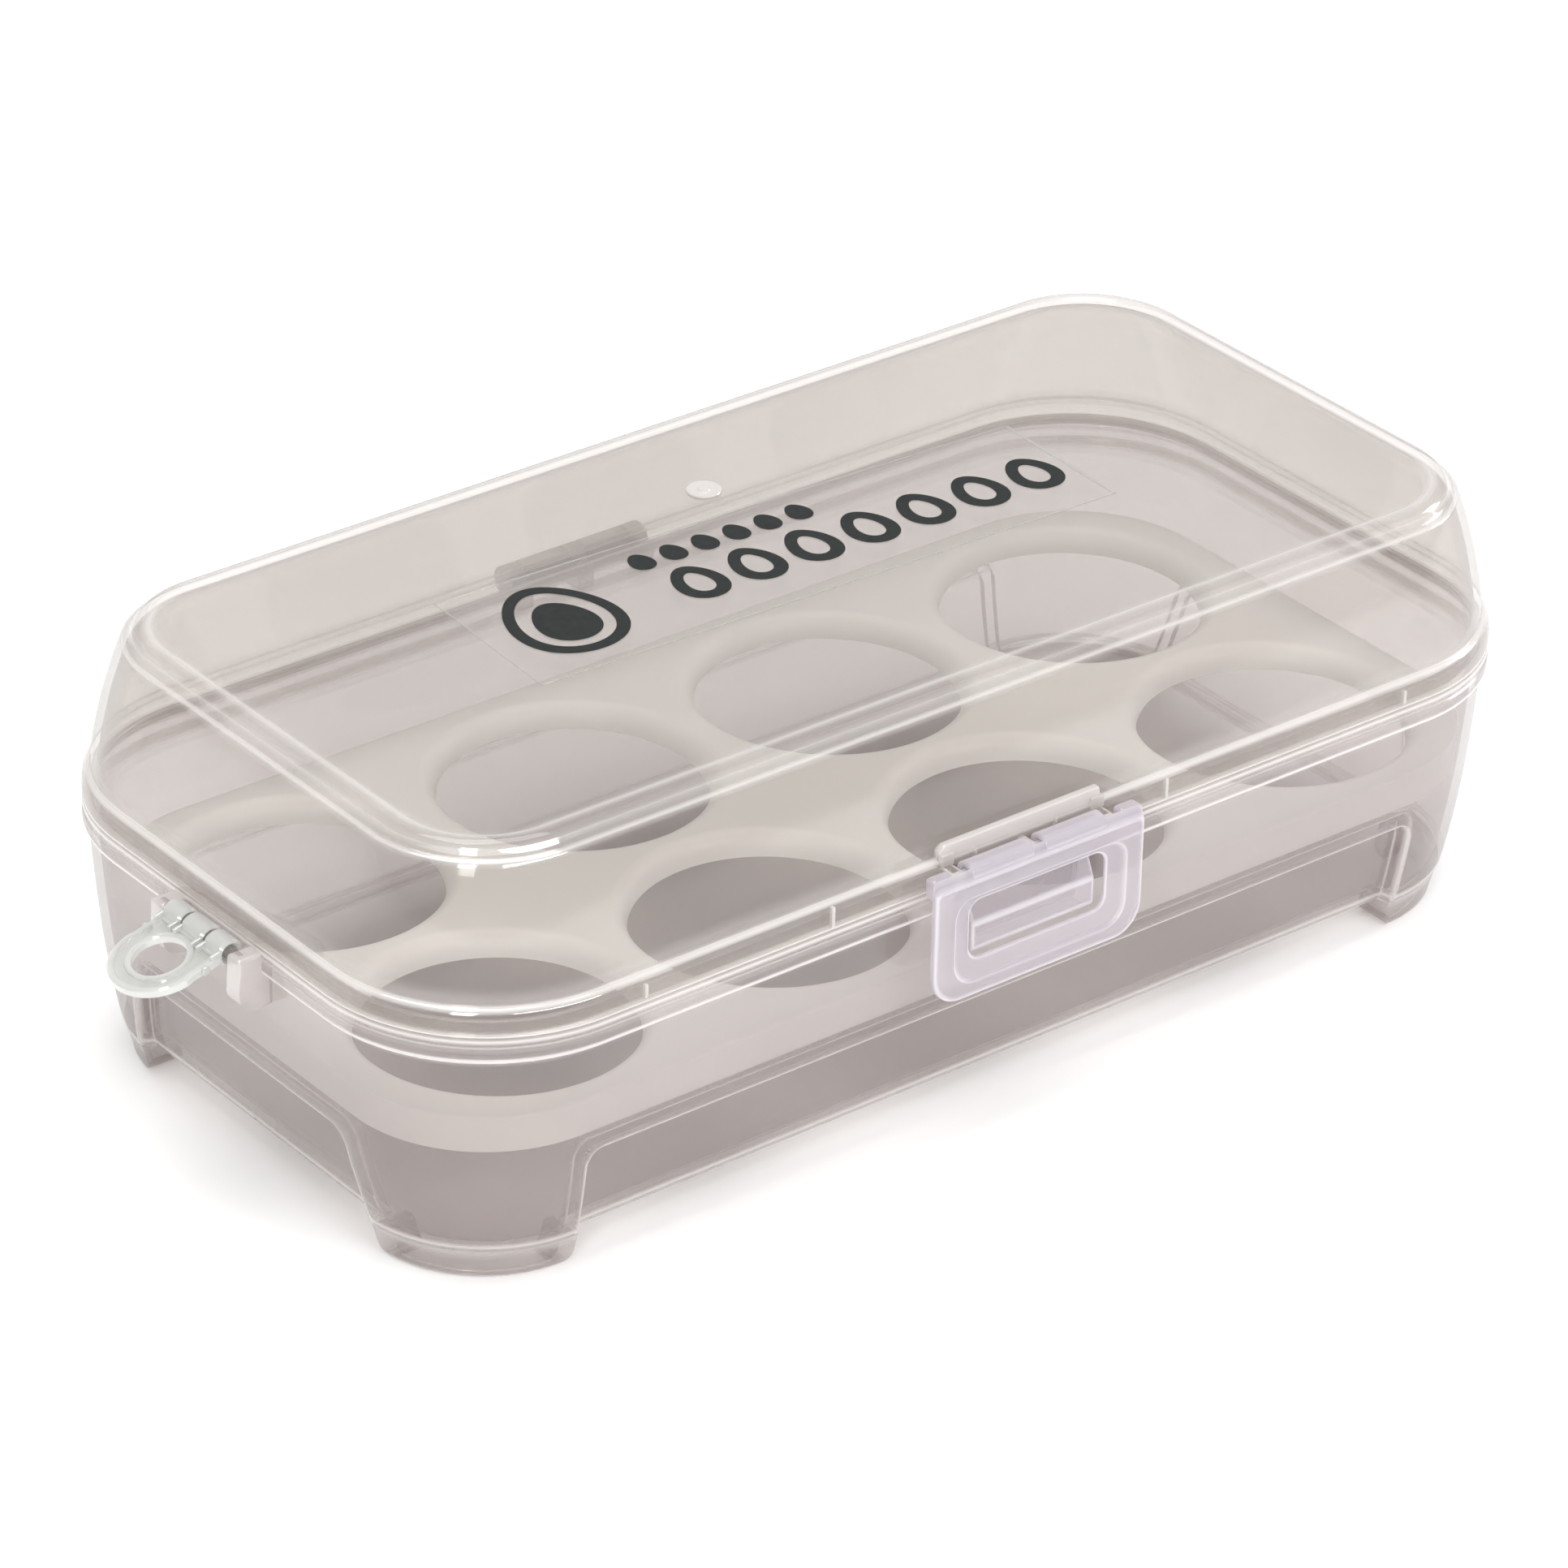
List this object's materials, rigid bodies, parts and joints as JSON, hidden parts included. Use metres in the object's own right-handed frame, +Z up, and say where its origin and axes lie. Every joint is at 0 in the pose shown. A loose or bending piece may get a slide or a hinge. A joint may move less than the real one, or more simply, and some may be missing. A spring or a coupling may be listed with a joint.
{
  "type": "egg carton",
  "caption": "Clear hinged plastic egg carton with a footed base, a lift-out tray of round egg holes, a front snap latch and a hang tab on one end.",
  "frame": {"origin": "middle of the whole footprint, hang tab, latch and rear hinge included, on the surface that the feet stand on", "axes": "+X along the box away from the hang tab, +Y towards the rear hinge (the latch faces -Y), +Z up"},
  "size_m": [0.2272, 0.1185, 0.07],
  "materials": {
    "base_plastic": "milky see-through moulded polypropylene, smooth",
    "lid_plastic": "clear moulded plastic, glossy",
    "tray_plastic": "milky white moulded polypropylene, satin",
    "latch_plastic": "translucent moulded polypropylene, glossy",
    "tab_plastic": "translucent moulded polypropylene, glossy"
  },
  "bodies": {
    "base": {"base": "base_plastic"},
    "lid": {"lid": "lid_plastic"},
    "egg_tray": {"egg_tray": "tray_plastic"},
    "latch": {"latch": "latch_plastic"},
    "hang_tab": {"hang_tab": "tab_plastic"}
  },
  "joints": [
    {"name": "lid_hinge", "type": "hinge", "parent": "base", "child": "lid", "pos_m": [0.00849, 0.0574, 0.0433], "axis": [-1, 0, 0], "range_deg": [0, 110]},
    {"name": "latch_hinge", "type": "hinge", "parent": "lid", "child": "latch", "pos_m": [0.00629, -0.0563, 0.0458], "axis": [-1, 0, 0], "range_deg": [0, 100]},
    {"name": "hang_tab_hinge", "type": "hinge", "parent": "base", "child": "hang_tab", "pos_m": [-0.09901, 0, 0.0419], "axis": [0, 1, 0], "range_deg": [-75, 60]},
    {"name": "tray_lift", "type": "slide", "parent": "base", "child": "egg_tray", "axis": [0, 0, 1], "range_m": [0, 0.012]}
  ]
}
